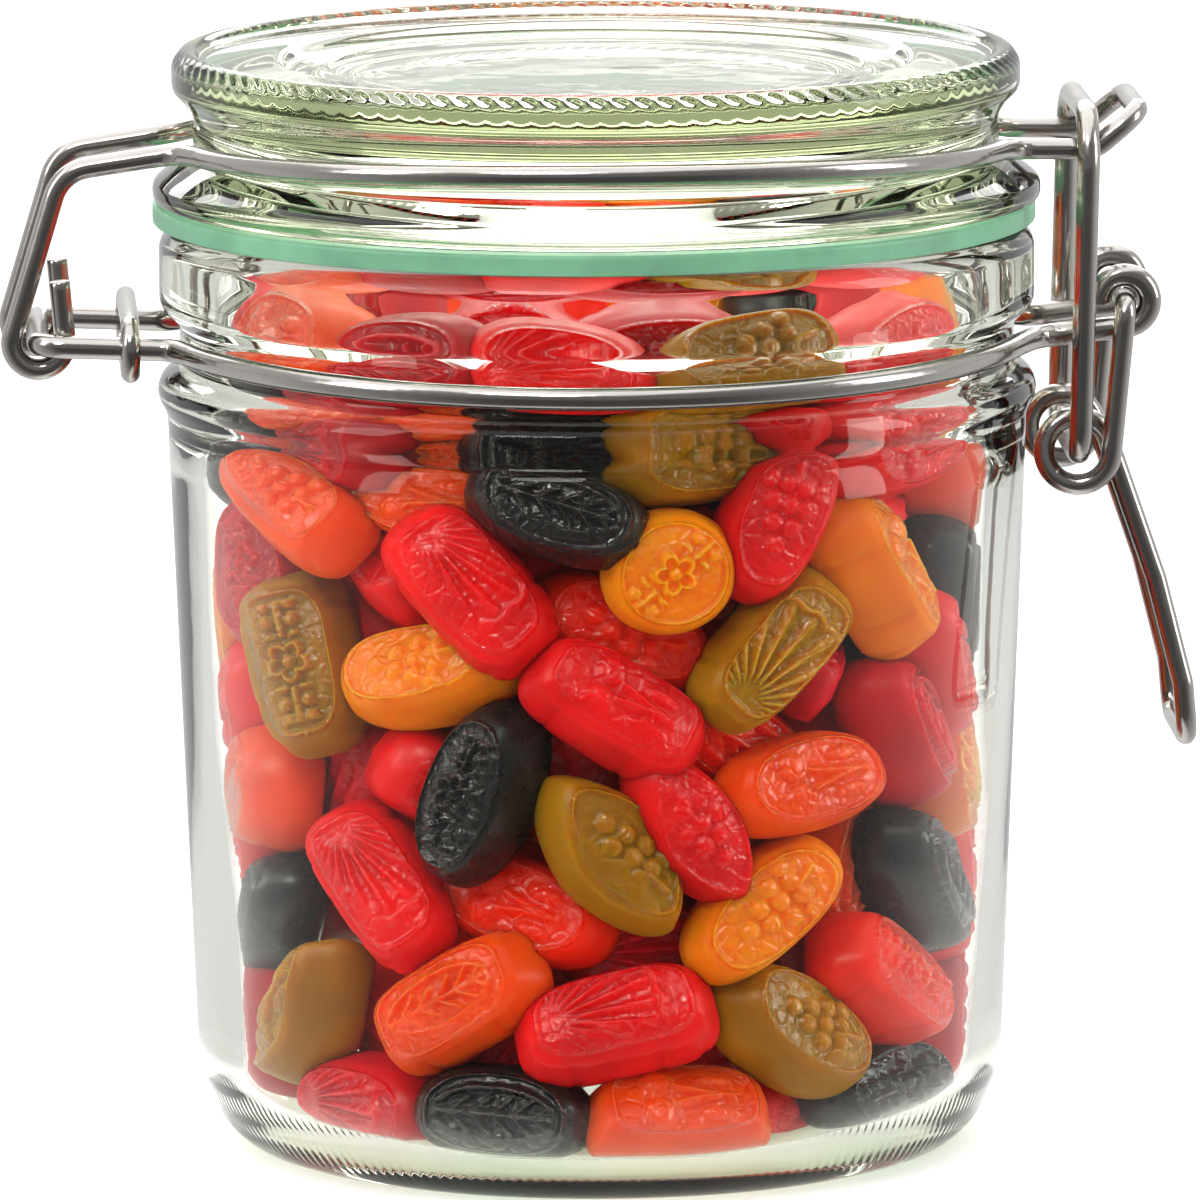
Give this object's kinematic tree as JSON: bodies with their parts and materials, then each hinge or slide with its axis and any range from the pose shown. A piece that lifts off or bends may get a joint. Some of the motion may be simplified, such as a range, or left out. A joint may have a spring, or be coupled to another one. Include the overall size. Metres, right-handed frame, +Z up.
{
  "type": "jar of wine gums",
  "caption": "Round swing-top glass preserving jar, shut with a wire clasp and a green gasket, filled with fruit wine gums.",
  "frame": {"origin": "centre of the jar's foot on the table plane", "axes": "+Z up along the jar's axis, +X towards the clasp, -X towards the lid's hinge"},
  "size_m": [0.1292, 0.0962, 0.1196],
  "materials": {
    "clear_glass": "clear pressed glass, faint green in thick parts",
    "mint_rubber": "satin mint green rubber",
    "spring_steel": "bright drawn stainless wire",
    "fruit_jelly": "satin translucent fruit gums in red, crimson, orange, amber, olive and black"
  },
  "bodies": {
    "jar": {"jar_glass": "clear_glass", "lid_glass": "clear_glass", "gasket": "mint_rubber", "neck_wire": "spring_steel", "lid_wire": "spring_steel", "wire_clip": "spring_steel", "wine_gums": "fruit_jelly"},
    "lever": {"lever": "spring_steel"},
    "bail": {"bail": "spring_steel"}
  },
  "joints": [
    {"name": "lever_pivot", "type": "hinge", "parent": "jar", "child": "lever", "pos_m": [0.0566, 0, 0.0923], "axis": [0, -1, 0], "range_deg": [0, 95]},
    {"name": "bail_pivot", "type": "hinge", "parent": "lever", "child": "bail", "pos_m": [0.0514, 0, 0.0762], "axis": [0, -1, 0], "range_deg": [-52, 0]}
  ],
  "couplings": [
    {"joint": "bail_pivot", "follows": "lever_pivot", "ratio": -0.54}
  ]
}
